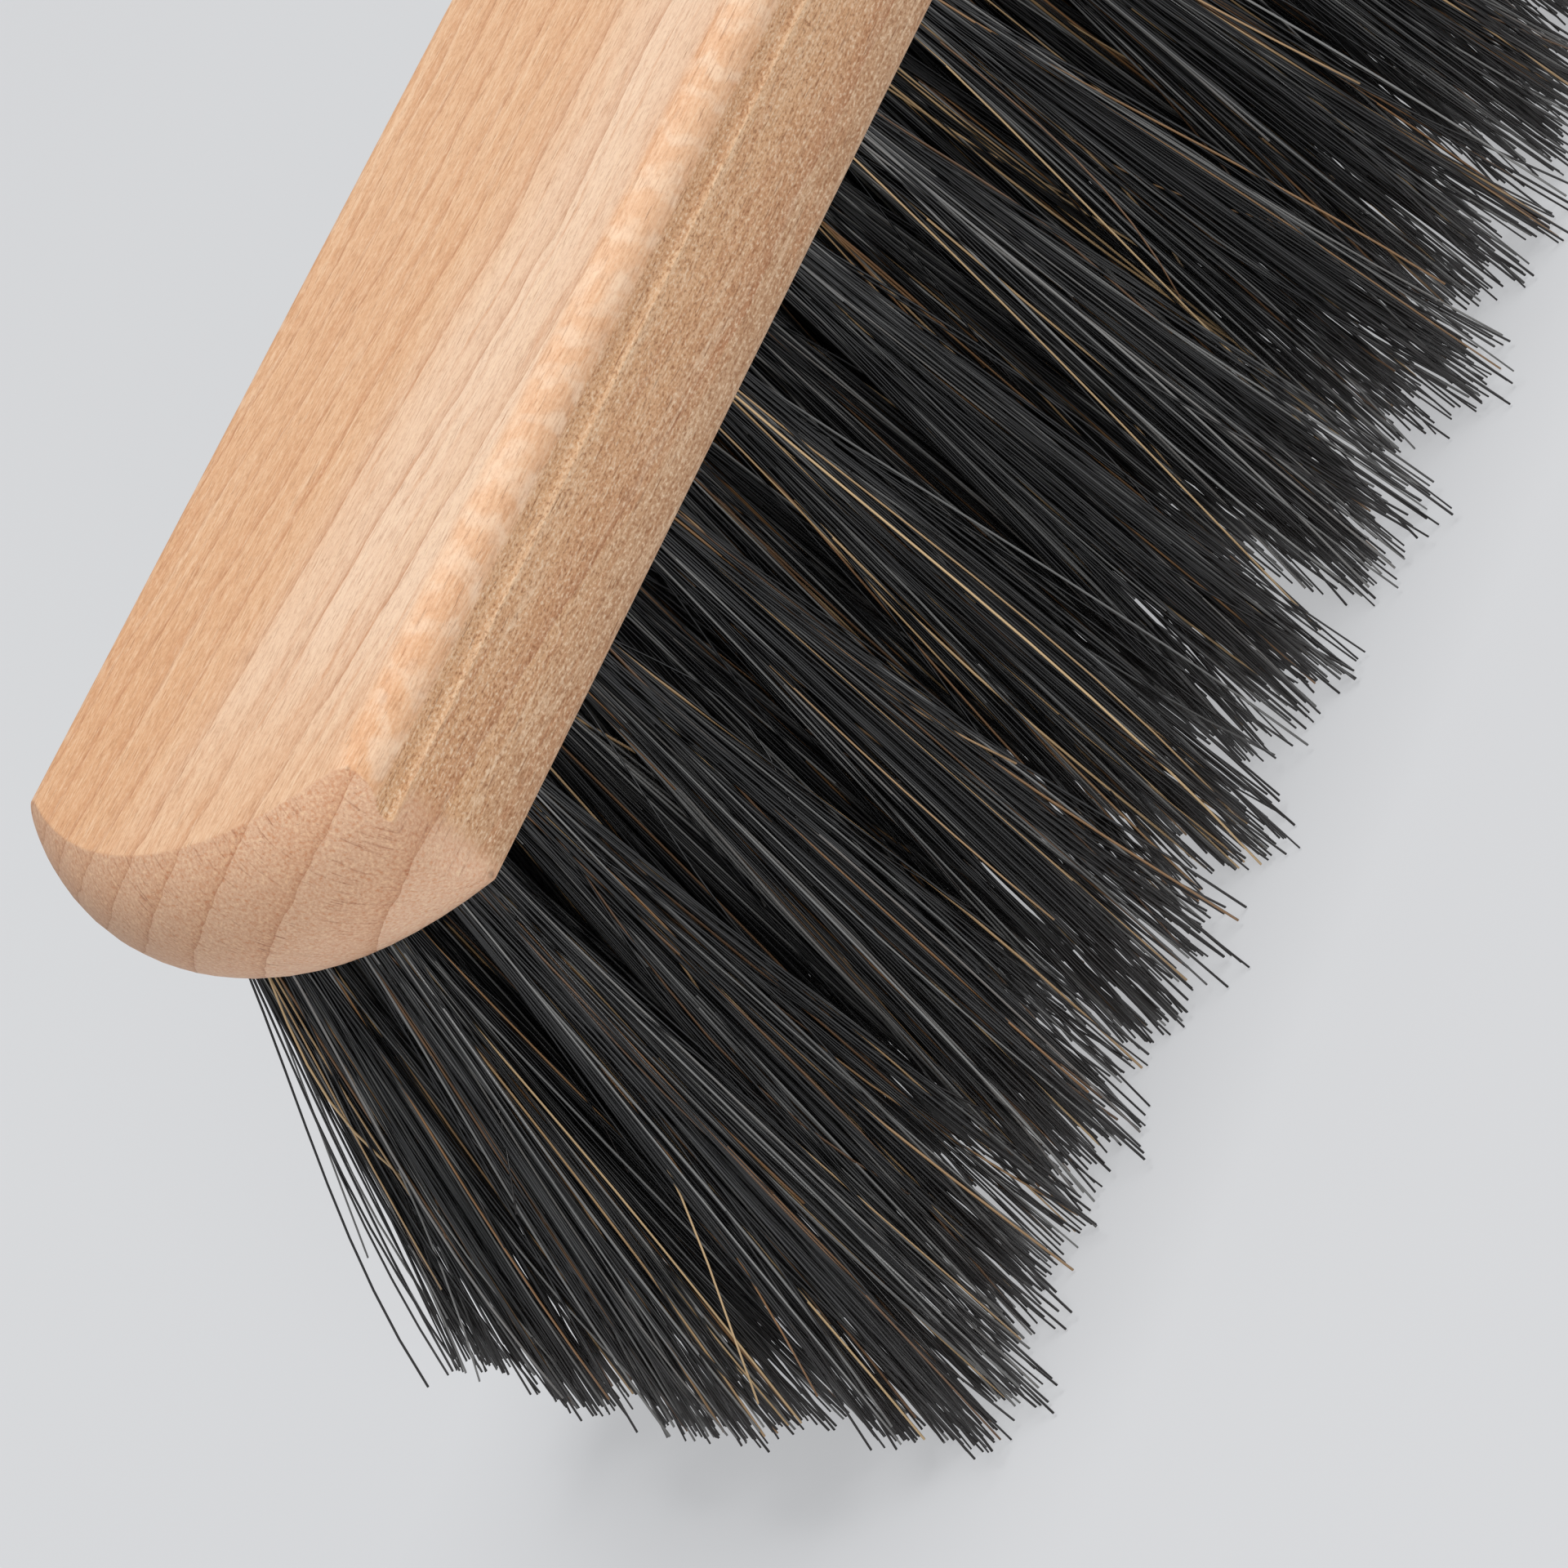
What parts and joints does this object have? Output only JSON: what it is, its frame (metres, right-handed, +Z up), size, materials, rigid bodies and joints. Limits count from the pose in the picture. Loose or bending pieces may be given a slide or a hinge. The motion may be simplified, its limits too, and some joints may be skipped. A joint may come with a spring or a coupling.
{
  "type": "hand broom",
  "caption": "Hand broom: flat wooden head and handle in one piece, filled with splayed rows of dark hair tufts, for sweeping benches and small floor areas.",
  "frame": {"origin": "on the surface that the bristle tips stand on, below the middle of the whole broom's length and width", "axes": "+X along the broom from the nose to the end of the handle, +Y across it to the right side, +Z up from the tips to the top of the head"},
  "size_m": [0.293, 0.0554, 0.0738],
  "materials": {
    "beech": "sanded smooth, thin matt oil",
    "hair": "loose natural hair with a soft sheen, black with a few brown and fair hairs",
    "wire": "bright drawn flat wire"
  },
  "bodies": {
    "root": {"tuft_left_inner_01": "hair", "tuft_left_inner_02": "hair", "tuft_left_inner_03": "hair", "tuft_left_inner_04": "hair", "tuft_left_inner_05": "hair", "tuft_left_inner_06": "hair", "tuft_left_inner_07": "hair", "tuft_left_inner_08": "hair", "tuft_left_inner_09": "hair", "tuft_left_inner_10": "hair", "tuft_left_inner_11": "hair", "tuft_left_outer_01": "hair", "tuft_left_outer_02": "hair", "tuft_left_outer_03": "hair", "tuft_left_outer_04": "hair", "tuft_left_outer_05": "hair", "tuft_left_outer_06": "hair", "tuft_left_outer_07": "hair", "tuft_left_outer_08": "hair", "tuft_left_outer_09": "hair", "tuft_left_outer_10": "hair", "tuft_left_outer_11": "hair", "tuft_nose_1": "hair", "tuft_nose_2": "hair", "tuft_nose_3": "hair", "tuft_nose_4": "hair", "tuft_right_inner_01": "hair", "tuft_right_inner_02": "hair", "tuft_right_inner_03": "hair", "tuft_right_inner_04": "hair", "tuft_right_inner_05": "hair", "tuft_right_inner_06": "hair", "tuft_right_inner_07": "hair", "tuft_right_inner_08": "hair", "tuft_right_inner_09": "hair", "tuft_right_inner_10": "hair", "tuft_right_inner_11": "hair", "tuft_right_outer_01": "hair", "tuft_right_outer_02": "hair", "tuft_right_outer_03": "hair", "tuft_right_outer_04": "hair", "tuft_right_outer_05": "hair", "tuft_right_outer_06": "hair", "tuft_right_outer_07": "hair", "tuft_right_outer_08": "hair", "tuft_right_outer_09": "hair", "tuft_right_outer_10": "hair", "tuft_right_outer_11": "hair", "wire_anchors": "wire", "wood_body": "beech"}
  },
  "joints": []
}
